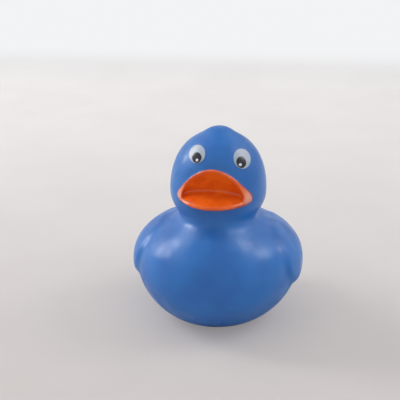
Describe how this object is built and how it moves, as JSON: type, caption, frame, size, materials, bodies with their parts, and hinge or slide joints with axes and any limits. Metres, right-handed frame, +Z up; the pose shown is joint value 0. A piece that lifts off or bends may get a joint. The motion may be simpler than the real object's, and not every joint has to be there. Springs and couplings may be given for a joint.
{
  "type": "rubber duck",
  "caption": "Hollow moulded bath duck with an open painted beak, printed eyes, raised wings, an upturned tail and a squeaker in its flat base; it stands or floats.",
  "frame": {"origin": "under the middle of the duck's outer box, on the surface that it stands on", "axes": "+Z up, -Y the way the duck faces, +X to the duck's left"},
  "size_m": [0.0766, 0.0942, 0.0874],
  "materials": {
    "vinyl": "satin soft vinyl in blue, its beak sprayed orange with a soft edge",
    "white_ink": "thin white pad-printed ink, smooth",
    "black_ink": "thin black pad-printed ink, smooth",
    "squeaker_plastic": "plain moulded plastic",
    "reed_film": "thin plastic disc"
  },
  "bodies": {
    "root": {"duck_body": "vinyl", "eye_white_right": "white_ink", "pupil_right": "black_ink", "glint_right": "white_ink", "eye_white_left": "white_ink", "pupil_left": "black_ink", "glint_left": "white_ink", "squeaker_case": "squeaker_plastic", "squeaker_reed": "reed_film"}
  },
  "joints": []
}
